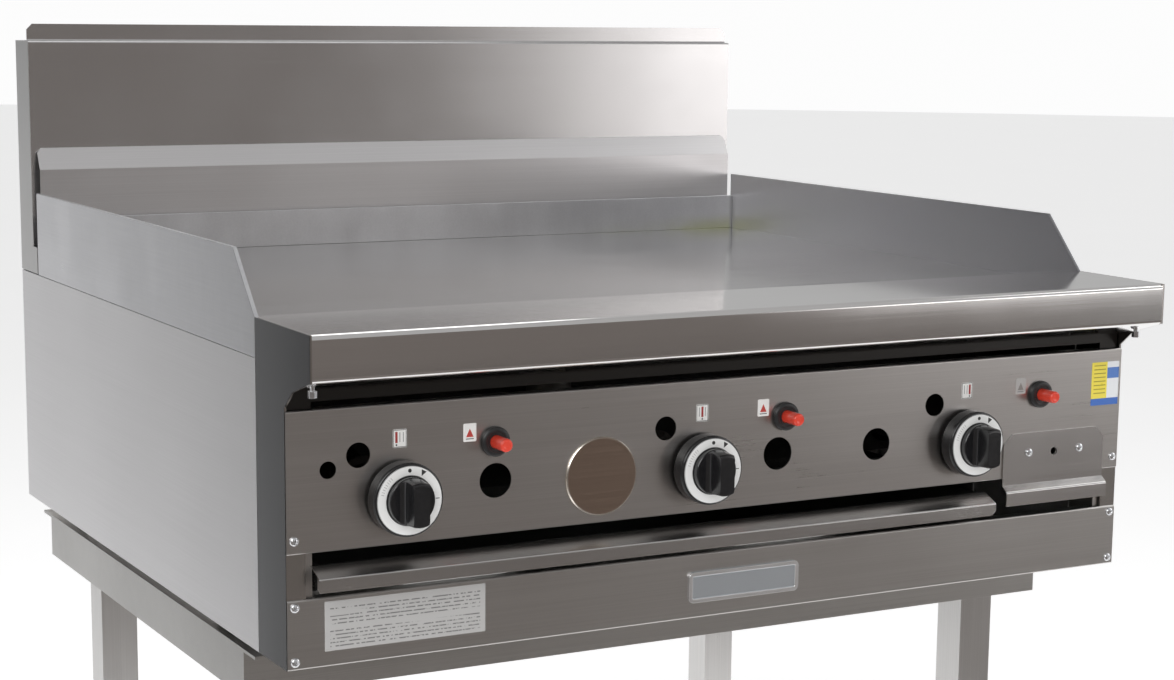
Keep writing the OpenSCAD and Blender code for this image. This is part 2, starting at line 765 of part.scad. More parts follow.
module igniter_button(x) color(RED) in_body() {
    translate([x, 2.6, igniter_z]) rotate([90, 0, 0]) rotate_extrude($fn = 64)
        polygon([[0, 0], [button_d/2, 0], [button_d/2, button_end + 1.6],
            [button_d/2 - 1, button_end + 2.6], [0, button_end + 2.6]]);
    rod_y(x, igniter_z, button_d + 3, 2.5, 5);
    rod_y(x, igniter_z, 5, 5 - EPS, 36);
}

module pilot_burners() color("silver") in_body()
    for (x = stations) translate([x + 22, box_y0 + 40, burner_z + burner_d/2]) {
        // bracket on the burner's header, hood, electrode and probe
        block([-16, -14, 0], [16, 14, 2]);
        translate([-8, 0, 2 - EPS]) cylinder(d = 10, h = 22);
        translate([2, 0, 2 - EPS]) cylinder(d = 4, h = 30);
        translate([11, 0, 2 - EPS]) cylinder(d = 6, h = 26);
    }

// ---- grease tray ----

module grease_tray() color(STEEL) in_body()
    difference() {
        union() {
            block([tray_x0 + tray_lap, 3, tray_z], [tray_x1 - tray_lap, 3 + tray_l, tray_top]);
            // pouring lip along the front
            along_x(tray_x0, tray_x1)
                folded([[-tray_out, tray_top - 20], [-tray_out, tray_top - 8], [1, tray_top],
                    [3 + tray_t, tray_top]], 2, -tray_t);
        }
        block([tray_x0 + tray_lap + tray_t, 3 + tray_t, tray_z + tray_t],
              [tray_x1 - tray_lap - tray_t, 3 + tray_l - tray_t, tray_top + 1]);
        // clipped right-hand corner of the lip
        translate([tray_x1, -tray_out, tray_top - 20]) rotate([0, 45, 0])
            cube([6, 30, 6], center = true);
    }

module tray_runners() color(DARK) in_body() {
    // left: angle from the left post; right: angle beside the tray's right end
    for (side = [-1, 1]) {
        edge = side < 0 ? tray_x0 + tray_lap - 0.5 : tray_x1 - tray_lap + 0.5;
        inner = edge - side*22;
        block([min(edge, inner), 14, tray_z - 2.3], [max(edge, inner), 3 + tray_l, tray_z - 0.3]);
        block([min(edge, edge + side*2), 14, tray_z - 2.3],
              [max(edge, edge + side*2), 3 + tray_l, tray_top + 8]);
        // legs down to the body's floor
        for (y = [40, tray_l - 40])
            block([min(edge, edge + side*2), y, floor_z + frame_t],
                  [max(edge, edge + side*2), y + 20, tray_z - 2.2]);
    }
}

// ---- stand ----

module stand_frame() color(STEEL) on_floor() {
    z0 = stand_h - stand_rail_h;
    w0 = stand_y0 + web_in;
    w1 = stand_y1 - web_in;
    difference() {
        union() {
            for (side = [0, 1]) mirror([side, 0, 0]) {
                block([stand_w/2 - stand_flange, stand_y0, stand_h - stand_t],
                      [stand_w/2, stand_y1, stand_h]);
                block([stand_w/2 - stand_t, w0, z0], [stand_w/2, w1, stand_h - EPS]);
                // corner plates over the legs
                for (y = leg_ys)
                    block([leg_x - plate_pad/2 - 4, y - plate_pad/2 - 4, stand_h - stand_t],
                          [stand_w/2 - 1, y + plate_pad/2 + 4, stand_h - EPS]);
            }
            // front and rear rails
            cross_rail(w0, 1);
            cross_rail(w1, -1);
        }
        for (sx = [-1, 1], y = leg_ys) leg_holes(sx*leg_x, y);
    }
}

// Front or rear rail: an upright web at y and a flange towards the middle of the stand
module cross_rail(y, inward) {
    x1 = stand_w/2 - stand_t + EPS;
    web = y + inward*stand_t;
    flange = y + inward*stand_flange;
    block([-x1, min(y, web), stand_h - stand_rail_h], [x1, max(y, web), stand_h - EPS]);
    block([-x1, min(y, flange), stand_h - stand_t], [x1, max(y, flange), stand_h - EPS]);
}

module leg_holes(x, y)
    for (a = [-1, 1], b = [-1, 1])
        translate([x + a*bolt_off, y + b*bolt_off, stand_h - 20]) cylinder(d = 8.5, h = 40);

module leg(x, y) color(STEEL) on_floor()
    difference() {
        union() {
            translate([x - leg_w/2, y - leg_w/2, foot_h]) cube([leg_w, leg_w, leg_top - foot_h + EPS]);
            translate([x - plate_pad/2, y - plate_pad/2, leg_top]) cube([plate_pad, plate_pad, pad_t]);
        }
        // hollow above the threaded insert
        translate([x - leg_w/2 + leg_t, y - leg_w/2 + leg_t, foot_h + 30])
            cube([leg_w - 2*leg_t, leg_w - 2*leg_t, leg_top - foot_h - 30]);
        translate([x, y, foot_h - 1]) cylinder(d = foot_stem_d + 2*run_fit, h = 40);
        leg_holes(x, y);
    }

module foot(x, y) color(STEEL) on_floor() translate([x, y, 0]) {
    rotate_extrude($fn = 64) polygon([[0, 0], [foot_d/2 - 2, 0], [foot_d/2, 3], [foot_d/2, 12],
        [foot_d/2 - 8, foot_h - 12], [foot_d/2 - 8, foot_h - 0.3], [0, foot_h - 0.3]]);
    translate([0, 0, foot_h - 1]) cylinder(d = foot_stem_d, h = foot_travel + 27);
}

module stand_bolts() color("silver") on_floor()
    for (sx = [-1, 1], y = leg_ys, a = [-1, 1], b = [-1, 1])
        translate([sx*leg_x + a*bolt_off, y + b*bolt_off, 0]) {
            translate([0, 0, stand_h]) cylinder(d = 14, h = 5, $fn = 6);
            translate([0, 0, leg_top - 10]) cylinder(d = 8, h = stand_h - leg_top + 10 + EPS);
            translate([0, 0, leg_top - 6.5]) difference() {
                cylinder(d = 14, h = 6.5, $fn = 6);
                translate([0, 0, -1]) cylinder(d = 8, h = 9);
            }
        }

// ---- nodes ----

body_frame();
color(STEEL) in_body() on_left() side_panel();  // side_panel_left
color(STEEL) in_body() side_panel();  // side_panel_right
color(STEEL) in_body() on_left() end_plate();  // end_plate_left
color(STEEL) in_body() end_plate();  // end_plate_right
rear_panel();
plate_rail();
griddle_plate();
color(STEEL) in_body() on_left() side_splash();  // side_splash_left
color(STEEL) in_body() side_splash();  // side_splash_right
rear_splash();
grease_gutter();
flue_deflector();
splashback_front();
splashback_shell();
control_panel();
panel_blank();
lower_front_panel();
badge();
tray_end_cover();
front_screws();
burner_box();
burner(stations[0]);  // burner_left
burner(stations[1]);  // burner_centre
burner(stations[2]);  // burner_right
gas_pipework();
valve(stations[0]);  // valve_left
valve(stations[1]);  // valve_centre
valve(stations[2]);  // valve_right
valve_plug(stations[0]);  // valve_plug_left
valve_plug(stations[1]);  // valve_plug_centre
valve_plug(stations[2]);  // valve_plug_right
spindle(stations[0]);  // spindle_left
spindle(stations[1]);  // spindle_centre
spindle(stations[2]);  // spindle_right
knob(stations[0]);  // knob_left
knob(stations[1]);  // knob_centre
knob(stations[2]);  // knob_right
dial(stations[0]);  // dial_left
dial(stations[1]);  // dial_centre
dial(stations[2]);  // dial_right
igniter(stations[0] + igniter_dx);  // igniter_left
igniter(stations[1] + igniter_dx);  // igniter_centre
igniter(stations[2] + igniter_dx);  // igniter_right
igniter_button(stations[0] + igniter_dx);  // igniter_button_left
igniter_button(stations[1] + igniter_dx);  // igniter_button_centre
igniter_button(stations[2] + igniter_dx);  // igniter_button_right
pilot_burners();
grease_tray();
tray_runners();
stand_frame();
leg(-leg_x, leg_ys[0]);  // leg_front_left
leg(leg_x, leg_ys[0]);  // leg_front_right
leg(-leg_x, leg_ys[1]);  // leg_rear_left
leg(leg_x, leg_ys[1]);  // leg_rear_right
foot(-leg_x, leg_ys[0]);  // foot_front_left
foot(leg_x, leg_ys[0]);  // foot_front_right
foot(-leg_x, leg_ys[1]);  // foot_rear_left
foot(leg_x, leg_ys[1]);  // foot_rear_right
stand_bolts();
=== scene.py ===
import json
import math

import bpy
from mathutils import Matrix, Vector

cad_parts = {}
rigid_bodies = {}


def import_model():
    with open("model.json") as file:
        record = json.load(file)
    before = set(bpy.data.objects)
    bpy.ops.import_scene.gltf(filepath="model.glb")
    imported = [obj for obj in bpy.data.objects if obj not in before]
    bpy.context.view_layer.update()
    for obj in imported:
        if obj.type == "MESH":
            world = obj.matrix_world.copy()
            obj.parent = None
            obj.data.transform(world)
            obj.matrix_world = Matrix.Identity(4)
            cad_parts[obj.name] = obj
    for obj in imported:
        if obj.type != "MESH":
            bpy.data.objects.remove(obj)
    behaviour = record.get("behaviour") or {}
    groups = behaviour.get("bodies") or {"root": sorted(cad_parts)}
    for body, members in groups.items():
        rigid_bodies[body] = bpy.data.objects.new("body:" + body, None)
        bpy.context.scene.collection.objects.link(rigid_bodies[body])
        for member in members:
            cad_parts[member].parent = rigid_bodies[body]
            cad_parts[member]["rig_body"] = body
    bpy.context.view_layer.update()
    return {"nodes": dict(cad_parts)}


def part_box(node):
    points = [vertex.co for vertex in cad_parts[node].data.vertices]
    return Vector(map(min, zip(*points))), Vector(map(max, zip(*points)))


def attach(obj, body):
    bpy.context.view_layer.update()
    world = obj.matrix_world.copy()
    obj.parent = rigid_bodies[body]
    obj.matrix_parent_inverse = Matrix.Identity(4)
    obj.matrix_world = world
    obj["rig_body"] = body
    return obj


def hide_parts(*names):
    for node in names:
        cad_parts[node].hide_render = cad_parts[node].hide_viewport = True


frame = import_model()
MM = 0.001

# ---- Camera and studio ----
# A long lens in front and to the left, a little higher than the splashback's top. The floor and
# the backdrop are pale, and the light is soft: one large lamp at the left, one at the right, one
# above. Grey cards that only reflections see give the brushed sheets something to mirror.

LENS = 71.44                    # mm, on a sensor 36 mm wide
FRAME_W = 1174                  # the frame's width, in the units of the next line
AXIS_BELOW_MIDDLE = 60          # from the frame's middle down to the lens's axis
EYE = (-1.1383, -2.1690, 1.1750)
YAW, PITCH, ROLL = (math.radians(a) for a in (-28.53, -9.53, 0.62))

bpy.ops.object.camera_add()
camera = bpy.context.object
camera.data.lens = LENS
camera.data.shift_y = AXIS_BELOW_MIDDLE / FRAME_W
camera.matrix_world = (Matrix.Translation(EYE)
                       @ Matrix.Rotation(YAW, 4, "Z")
                       @ Matrix.Rotation(math.pi / 2 + PITCH, 4, "X")
                       @ Matrix.Rotation(ROLL, 4, "Z"))
bpy.context.scene.camera = camera
bpy.context.scene.view_settings.view_transform = "Standard"


class Level:
    """A number in a finish's nodes. Python's operators on it add Math nodes."""

    def __init__(self, finish, socket):
        self.finish, self.socket = finish, socket

    def maths(self, operation, *values):
        return self.finish.maths(operation, self, *values)

    def __add__(self, other): return self.maths("ADD", other)
    __radd__ = __add__

    def __mul__(self, other): return self.maths("MULTIPLY", other)
    __rmul__ = __mul__

    def __sub__(self, other): return self.maths("SUBTRACT", other)

    def __rsub__(self, other): return self.finish.maths("SUBTRACT", other, self)

    def __truediv__(self, other): return self.maths("DIVIDE", other)

    def __pow__(self, other): return self.maths("POWER", other)

    def __lt__(self, other): return self.maths("LESS_THAN", other)

    def __gt__(self, other): return self.maths("GREATER_THAN", other)

    def __abs__(self): return self.maths("ABSOLUTE")

    def rising(self, low, high):
        """0 below low, 1 above high, and a soft step between."""
        return Level(self.finish, self.finish.node(
            "MapRange", {"interpolation_type": "SMOOTHSTEP"}, self, low, high).outputs[0])


class Finish:
    """A material on one Principled shader, with its pattern on Object coordinates."""

    def __init__(self, name, colour, roughness, metallic=1.0, **fixed):
        self.material = bpy.data.materials.new(name)
        self.material.use_nodes = True
        self.tree = self.material.node_tree
        self.shader = self.tree.nodes["Principled BSDF"]
        self.place = self.node("TexCoord", {}).outputs["Object"]
        apart = self.node("SeparateXYZ", {}, self.place)
        self.x, self.y, self.z = (Level(self, out) for out in apart.outputs)
        self.set("Metallic", metallic)
        self.set("Base Color", colour)
        self.set("Roughness", roughness)
        for socket, value in fixed.items():
            self.set(socket.replace("_", " "), value)

    def put(self, socket, value):
        if isinstance(value, Level):
            value = value.socket
        if isinstance(value, bpy.types.NodeSocket):
            self.tree.links.new(value, socket)
        else:
            if socket.type == "RGBA" and len(value) == 3:
                value = (*value, 1.0)
            socket.default_value = value

    def set(self, socket, value):
        self.put(self.shader.inputs[socket], value)

    def node(self, kind, settings, *values, **named):
        made = self.tree.nodes.new("ShaderNode" + kind)
        for setting, value in settings.items():
            setattr(made, setting, value)
        for i, value in enumerate(values):
            self.put(made.inputs[i], value)
        for socket, value in named.items():
            self.put(made.inputs[socket], value)
        return made

    def maths(self, operation, *values):
        return Level(self, self.node("Math", {"operation": operation}, *values).outputs[0])

    def noise(self, per_metre, detail=2.0, rough=0.5):
        """A soft random level about 0.5, with so many spots per metre along x, y and z."""
        spread = self.node("Mapping", {}, self.place, Scale=per_metre).outputs[0]
        return Level(self, self.node("TexNoise", {}, spread, Scale=1.0, Detail=detail,
                                     Roughness=rough).outputs[0])

    def mix(self, amount, first, second):
        made = self.node("Mix", {"data_type": "RGBA"})
        for i, value in ((0, amount), (6, first), (7, second)):
            self.put(made.inputs[i], value)
        return made.outputs[2]

    def paint(self, amount, colour):
        """Lays a colour over what is already there, as far as the amount goes from 0 to 1."""
        under = self.shader.inputs["Base Color"].links[0].from_socket
        self.set("Base Color", self.mix(amount, under, colour))

    def bump(self, height, distance, strength=1.0):
        made = self.node("Bump", {}, Height=height, Distance=distance, Strength=strength)
        self.set("Normal", made.outputs[0])


def only(*pieces):
    """These pieces selected and no others, the last of them active."""
    bpy.ops.object.select_all(action="DESELECT")
    for piece in pieces:
        piece.select_set(True)
    bpy.context.view_layer.objects.active = pieces[-1]


def select_edges(piece, wanted):
    """Goes into edit mode with only the edges selected whose two ends are as wanted."""
    only(piece)
    bpy.ops.object.mode_set(mode="EDIT")
    bpy.ops.mesh.select_mode(type="EDGE")
    bpy.ops.mesh.select_all(action="DESELECT")
    bpy.ops.object.mode_set(mode="OBJECT")
    for edge in piece.data.edges:
        edge.select = wanted(*(piece.data.vertices[v].co for v in edge.vertices))
    bpy.ops.object.mode_set(mode="EDIT")


ROOM = 26.0                     # radius of the floor; the backdrop's is a little less
bpy.ops.object.select_all(action="DESELECT")
bpy.ops.mesh.primitive_circle_add(vertices=96, radius=ROOM, fill_type="NGON")
floor = bpy.context.object
floor.name = "studio_floor"
pale = Finish("pale_floor", (0.84, 0.84, 0.84), 0.7, metallic=0.0, Emission_Strength=0.42)
cloud = pale.noise((2, 2, 2), 4)
pale.set("Base Color", pale.mix(cloud, (0.82, 0.82, 0.82), (0.86, 0.86, 0.86)))
pale.set("Emission Color", (1.0, 1.0, 1.0))
floor.data.materials.append(pale.material)

bpy.ops.object.select_all(action="DESELECT")
bpy.ops.mesh.primitive_uv_sphere_add(segments=64, ring_count=32, radius=ROOM - 0.1)
backdrop = bpy.context.object
backdrop.name = "studio_backdrop"
paper = Finish("backdrop_paper", (0.0, 0.0, 0.0), 1.0, metallic=0.0, Emission_Strength=0.97)
paper.set("Emission Color", (1.0, 1.0, 1.0))
backdrop.data.materials.append(paper.material)
for ray in ("diffuse", "glossy", "transmission", "shadow"):
    setattr(backdrop, "visible_" + ray, False)         # the camera alone sees it


CARD_LIFT = 0.004               # of the cards' flat parts over the floor


def card(name, colour, width, near, far, high, place, turn=0.0):
    """A card, flat on the floor from near to far and then upright; only reflections see it."""
    bpy.ops.object.select_all(action="DESELECT")
    bpy.ops.mesh.primitive_plane_add(size=1.0)
    piece = bpy.context.object
    piece.name = name
    piece.dimensions = (width, far - near, 0)
    piece.location = (0, -(near + far) / 2, CARD_LIFT)
    bpy.ops.object.transform_apply()
    select_edges(piece, lambda a, b: max(a.y, b.y) < 0.01 - far)
    bpy.ops.mesh.extrude_region_move(TRANSFORM_OT_translate={"value": (0, 0, high)})
    bpy.ops.object.mode_set(mode="OBJECT")
    piece.rotation_euler = (0, 0, turn)
    piece.location = place
    bpy.ops.object.transform_apply()
    piece.data.materials.append(colour.material)
    piece.visible_camera = piece.visible_diffuse = piece.visible_shadow = False


# The front card is paler towards its right end, where its upper part also shines.
grey = Finish("card_grey", (0.2, 0.2, 0.2), 0.9, metallic=0.0, Emission_Strength=1.0)
grey.set("Base Color", grey.mix(grey.x.rising(3.9, 5.2), (0.215, 0.19, 0.175), (0.36, 0.35, 0.34)))
glow = grey.z.rising(0.26, 0.34) * grey.x.rising(2.95, 3.7)
grey.set("Emission Color", grey.mix(glow, (0.0, 0.0, 0.0), (1.9, 1.87, 1.87)))
card("studio_card_front", grey, width=16.0, near=0.9, far=5.2, high=1.9, place=(-1.1, 0, 0))
dark = Finish("card_dark", (0.03, 0.03, 0.03), 0.9, metallic=0.0)
dark.set("Base Color", dark.mix(dark.noise((2, 2, 2)), (0.02, 0.02, 0.02), (0.04, 0.04, 0.04)))
card("studio_card_left", dark, width=2.8, near=1.6, far=4.4, high=2.6,
     place=(-1.77, -0.82, 0), turn=math.radians(180 + 20))

world = bpy.data.worlds.new("studio")
world.use_nodes = True
sky = world.node_tree.nodes["Background"]
sky.inputs["Color"].default_value = (1.0, 1.0, 1.0, 1)
sky.inputs["Strength"].default_value = 0.47
bpy.context.scene.world = world

AIM = Vector((0, 0, 0.8))       # the spot that every lamp faces
LAMPS = {                       # place, width, watts
    "left": ((-2.6, -2.6, 3.0), 2.6, 75),
    "right": ((3.4, -1.2, 2.6), 2.2, 26),
    "above": ((0.2, 1.4, 3.4), 2.4, 26),
}
for name, (place, size, power) in LAMPS.items():
    bpy.ops.object.light_add(type="AREA", location=place)
    lamp = bpy.context.object
    lamp.name = "lamp_" + name
    lamp.data.size, lamp.data.energy = size, power
    lamp.rotation_euler = (AIM - Vector(place)).to_track_quat("-Z", "Y").to_euler()

# ---- Stand ----
# A welded frame of folded 3 mm stainless channel on four square legs. Each leg's top plate is
# bolted up to a corner plate, and a levelling foot screws into its lower end.


def stainless(name, tone, roughness, grain="x", streak=1.0, smudge=0.05, wave=0.6 * MM):
    """Brushed stainless sheet: fine lines along the grain, faint handling marks, a slow wave."""
    finish = Finish(name, tone, roughness)
    fine, bands = ([4.0 if axis == grain else per for axis in "xyz"] for per in (900.0, 130.0))
    lines = finish.noise(fine, 3)
    broad = finish.noise([v * 0.5 for v in bands], 2)
    marks = finish.noise((7, 7, 7), 5, 0.6)
    shade = 0.5 + (lines - 0.5) * (0.9 * streak) + (broad - 0.5) * (0.3 * streak)
    dark, light = ([c * k for c in tone] for k in (0.86, 1.12))
    finish.set("Base Color", finish.mix(shade, dark, light))
    finish.set("Roughness",
               roughness + (lines - 0.5) * (0.10 * streak) + (marks - 0.5) * smudge * 2)
    slow = finish.noise((1.7, 1.7, 1.7), 1)
    finish.bump(slow + (lines - 0.5) * (0.012 * streak), wave)
    return finish


def clad(piece, finish, body):
    """Puts the finish on a new piece, and fixes the piece to its body."""
    piece.data.materials.clear()
    piece.data.materials.append(finish.material)
    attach(piece, body)


def smoothed(piece, smooth):
    """Smooth shading over curves, with the flat faces kept flat."""
    only(piece)
    bpy.ops.object.shade_smooth_by_angle(angle=math.radians(smooth))
    flats = piece.modifiers.new("flats", "WEIGHTED_NORMAL")
    flats.keep_sharp = True
    bpy.ops.object.modifier_apply(modifier="flats")
    return piece


def rounded(piece, width, steps=3, angle=40, smooth=40):
    """Bevels a piece's hard edges and smooths them."""
    only(piece)
    edges = piece.modifiers.new("edges", "BEVEL")
    edges.width, edges.segments = width, steps
    edges.limit_method, edges.angle_limit = "ANGLE", math.radians(angle)
    bpy.ops.object.modifier_apply(modifier="edges")
    return smoothed(piece, smooth)


def eased(node, finish, width=0.3 * MM, steps=2, smooth=35):
    """A sheet or bar with its edges broken, as deburring leaves them, standing for its node."""
    source = frame["nodes"][node]
    piece = bpy.data.objects.new(node + "_finished", source.data.copy())
    bpy.context.scene.collection.objects.link(piece)
    only(piece)
    bpy.ops.mesh.customdata_custom_splitnormals_clear()
    bpy.ops.object.mode_set(mode="EDIT")
    bpy.ops.mesh.select_all(action="SELECT")
    bpy.ops.mesh.remove_doubles(threshold=0.01 * MM)
    bpy.ops.mesh.dissolve_limited(angle_limit=math.radians(0.6))
    bpy.ops.object.mode_set(mode="OBJECT")
    rounded(piece, width, steps, 50, smooth)
    clad(piece, finish, source["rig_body"])
    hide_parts(node)
    return piece


def dress(node, finish):
    """A node whose shape is already right takes its finish."""
    shown = frame["nodes"][node]
    if not shown.material_slots:
        shown.data.materials.append(finish.material)
    for slot in shown.material_slots:
        slot.material = finish.material


stand_steel = stainless("stand_stainless", (0.53, 0.52, 0.505), 0.34)
eased("stand_frame", stand_steel, 0.5 * MM)
leg_steel = stainless("leg_stainless", (0.62, 0.61, 0.60), 0.30, "z")
foot_steel = stainless("foot_steel", (0.58, 0.58, 0.58), 0.28, "z", wave=0.2 * MM)
bright = stainless("bright_zinc", (0.74, 0.75, 0.77), 0.22, streak=0.5, wave=0.1 * MM)
for corner in ("front_left", "front_right", "rear_left", "rear_right"):
    eased("leg_" + corner, leg_steel, 1.2 * MM, 3)
    eased("foot_" + corner, foot_steel, 0.6 * MM)
eased("stand_bolts", bright, 0.3 * MM)

# ---- Body frame and outer panels ----
# The frame is steel angle, painted black near its top as painted shade, where the gap above the
# control panel lies dark. The side panels and the back are 1.2 mm brushed stainless with folded
# edges; the left one's steel is painted paler than the right one's and the back's, as painted
# light. The thick end plates close the front rail's ends, and their outer faces are painted dark,
# a painted reflection.

GAP_SHADE_BLACK = (0.05, 0.048, 0.046)


def mottled(name, colour, roughness, spots, metallic=1.0, depth=0.0, change=0.3, **fixed):
    """Plated, cast or painted metal, or moulded plastic: an even colour with soft mottling."""
    finish = Finish(name, colour, roughness, metallic, **fixed)
    patch, speck = finish.noise([spots] * 3, 5, 0.6), finish.noise([spots * 9] * 3, 3)
    dark, light = ([c * k for c in colour] for k in (1 - change, 1 + change))
    finish.set("Base Color", finish.mix((patch * 0.7 + speck * 0.3).rising(0.3, 0.7), dark, light))
    finish.set("Roughness", roughness + (patch - 0.5) * 0.2)
    if depth:
        finish.bump(speck * 0.6 + patch * 0.4, depth)
    return finish


# The burner box and the tray runners take the same black, as painted shade for the dark inside.
gap_shade_black = mottled("shade_black_frame", GAP_SHADE_BLACK, 0.5, 60, metallic=0.6, depth=0.08 * MM)
for node in ("burner_box", "tray_runners"):
    dress(node, gap_shade_black)
panel_low, panel_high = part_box("control_panel")
frame_steel = stainless("frame_steel", (0.52, 0.50, 0.48), 0.34, "z", streak=0.8)
# Painted shade: the frame turns black over its top 20 mm, level with the gap above the panel.
frame_steel.paint(frame_steel.z.rising(panel_high.z - 20 * MM, panel_high.z), GAP_SHADE_BLACK)
dress("body_frame", frame_steel)
# Painted light: the left side panel's steel is paler than the same sheet on the right and back.
lit_side_steel = stainless("lit_side_stainless", (0.86, 0.85, 0.86), 0.36, "y",
                       streak=0.45, smudge=0.03, wave=1.1 * MM)
eased("side_panel_left", lit_side_steel)
plain_steel = stainless("plain_stainless", (0.60, 0.595, 0.59), 0.34, "y",
                        streak=0.45, smudge=0.03, wave=0.9 * MM)
for node in ("side_panel_right", "rear_panel"):
    eased(node, plain_steel)
end_steel = stainless("end_stainless", (0.52, 0.50, 0.48), 0.22, "y", streak=0.4)
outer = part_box("end_plate_right")[1].x
# Painted reflection: the end plates' outer faces are painted near black, for the dark they mirror.
painted_dark_reflection = abs(end_steel.x).rising(outer - 0.6 * MM, outer - 0.2 * MM)
end_steel.paint(painted_dark_reflection, (0.11, 0.11, 0.115))
for side in ("left", "right"):
    eased("end_plate_" + side, end_steel, 0.5 * MM)

# ---- Front rail ----
# 2 mm stainless folded into a wide channel with rounded bends, polished along its length, and
# bolted at its ends. Its flat top is where pans and scrapers rest.

rail_steel = stainless("rail_stainless", (0.80, 0.785, 0.775), 0.10,
                       streak=0.4, smudge=0.03, wave=0.5 * MM)
eased("plate_rail", rail_steel, 0.3 * MM)

# ---- Griddle plate and splash guards ----
# The plate is 20 mm steel, ground and polished, with a yellow-green heat tint towards its rear
# right corner. The guards are ground plate, matt and smudged, welded round three of its sides. The
# right one carries painted shade, darker most at its front.

plate_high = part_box("griddle_plate")[1]
plate_steel = Finish("ground_plate", (0.52, 0.51, 0.50), 0.24)
lines = plate_steel.noise((6, 700, 700), 3)
swirl = plate_steel.noise((9, 14, 9), 5, 0.65)
warm = plate_steel.noise((5, 5, 5), 3)
rear_right = (plate_steel.x.rising(0.15, plate_high.x)
              * plate_steel.y.rising(plate_high.y - 60 * MM, plate_high.y))
tint = rear_right * warm.rising(0.35, 0.65)
steel = plate_steel.mix((lines * 0.5 + swirl * 0.5).rising(0.3, 0.7), (0.46, 0.455, 0.45),
                        (0.62, 0.615, 0.61))
plate_steel.set("Base Color", plate_steel.mix(tint * 0.45, steel, (0.50, 0.52, 0.20)))
plate_steel.set("Roughness", 0.15 + (swirl - 0.5) * 0.12 + (lines - 0.5) * 0.08)
plate_steel.bump(warm + lines * 0.02, 0.6 * MM)
eased("griddle_plate", plate_steel, 0.8 * MM)

guard_steel = Finish("ground_guard", (0.5, 0.5, 0.5), 0.34)
scuff = guard_steel.noise((30, 30, 9), 5, 0.65)
smear = guard_steel.noise((6, 6, 11), 4, 0.6)
lines = guard_steel.noise((500, 9, 500), 3)
TINTED = 22 * MM                # up the guards from the plate
heat = (guard_steel.y.rising(plate_high.y - 90 * MM, plate_high.y)
        * (plate_high.z + TINTED - guard_steel.z).rising(0.0, TINTED)
        * guard_steel.x.rising(0.22, 0.44) * smear.rising(0.35, 0.6))
steel = guard_steel.mix((scuff * 0.3 + smear * 0.5 + lines * 0.2).rising(0.3, 0.7),
                        (0.66, 0.66, 0.68), (0.78, 0.78, 0.80))
guard_steel.set("Base Color", guard_steel.mix(heat * 0.55, steel, (0.46, 0.48, 0.18)))
guard_steel.set("Roughness", 0.32 + (smear - 0.5) * 0.2 + (scuff - 0.5) * 0.12)
guard_steel.bump(scuff * 0.3 + lines * 0.2 + smear, 0.2 * MM)
# Painted shade: the right guard is painted darker, most at its front.
shaded_right_wall = guard_steel.x.rising(plate_high.x - 6 * MM, plate_high.x)
painted_shade_tone = guard_steel.mix(guard_steel.y.rising(-0.35, 0.45), (0.20, 0.20, 0.21), (0.50, 0.50, 0.51))
guard_steel.paint(shaded_right_wall, painted_shade_tone)
for node in ("side_splash_left", "side_splash_right", "rear_splash"):
    eased(node, guard_steel, 0.6 * MM)
gutter_steel = stainless("gutter_stainless", (0.50, 0.49, 0.47), 0.34, streak=0.6, smudge=0.12)
dress("grease_gutter", gutter_steel)

# ---- Flue and splashback ----
# A hollow box of 1.2 mm stainless: the front sheet is folded into a lip at the top, the shell is
# one sheet bent round the sides and back, and the deflector stands off the front on tabs.

flue_steel = stainless("flue_stainless", (0.66, 0.65, 0.65), 0.22, streak=0.5, smudge=0.04)
eased("splashback_front", flue_steel)
deflector_steel = stainless("deflector_stainless", (0.74, 0.725, 0.73), 0.31,
                            streak=0.5, smudge=0.04)
eased("flue_deflector", deflector_steel)
shell_steel = stainless("shell_stainless", (0.66, 0.655, 0.65), 0.36, "z",
                        streak=0.4, smudge=0.04)
eased("splashback_shell", shell_steel)

# ---- Burners and gas ----
# Steel tube burners stand in the box under the plate. A black steel pipe runs along behind the
# control panel and feeds a brass tap for each burner; each burner has a small pilot.

iron = mottled("burner_iron", (0.16, 0.145, 0.135), 0.6, 45, depth=0.4 * MM)
pipe_black = mottled("black_pipe", (0.035, 0.035, 0.036), 0.5, 70, metallic=0.2, depth=0.2 * MM)
brass = mottled("turned_brass", (0.72, 0.53, 0.24), 0.30, 90, depth=0.03 * MM, change=0.12)
pilot_steel = mottled("pilot_steel", (0.42, 0.38, 0.33), 0.38, 120, change=0.25)
turned_steel = stainless("turned_steel", (0.62, 0.62, 0.63), 0.25, "z", wave=0.1 * MM)
dress("gas_pipework", pipe_black)
dress("pilot_burners", pilot_steel)
STATIONS = ("left", "centre", "right")
for station in STATIONS:
    dress("burner_" + station, iron)
    eased("valve_" + station, brass, 0.3 * MM)
    dress("valve_plug_" + station, brass)
    dress("spindle_" + station, turned_steel)

# ---- Control panel ----
# 1.2 mm stainless brushed along its length, folded at its edges and pierced for the taps, the
# igniters, the sight and lighting holes and a hole shut by a pressed disc.

panel_steel = stainless("panel_stainless", (0.58, 0.56, 0.545), 0.30, streak=0.8, wave=0.8 * MM)
panel = eased("control_panel", panel_steel)
lower_steel = stainless("lower_stainless", (0.58, 0.565, 0.55), 0.32, streak=0.8, wave=0.8 * MM)
eased("lower_front_panel", lower_steel)
cover_steel = stainless("cover_stainless", (0.60, 0.585, 0.575), 0.24,
                        streak=0.8, wave=0.5 * MM)
eased("tray_end_cover", cover_steel)
disc_steel = stainless("disc_stainless", (0.49, 0.38, 0.31), 0.22, smudge=0.06, wave=0.2 * MM)
disc_low, disc_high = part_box("panel_blank")
disc_middle, disc_r = (disc_low + disc_high) / 2, (disc_high.x - disc_low.x) / 2
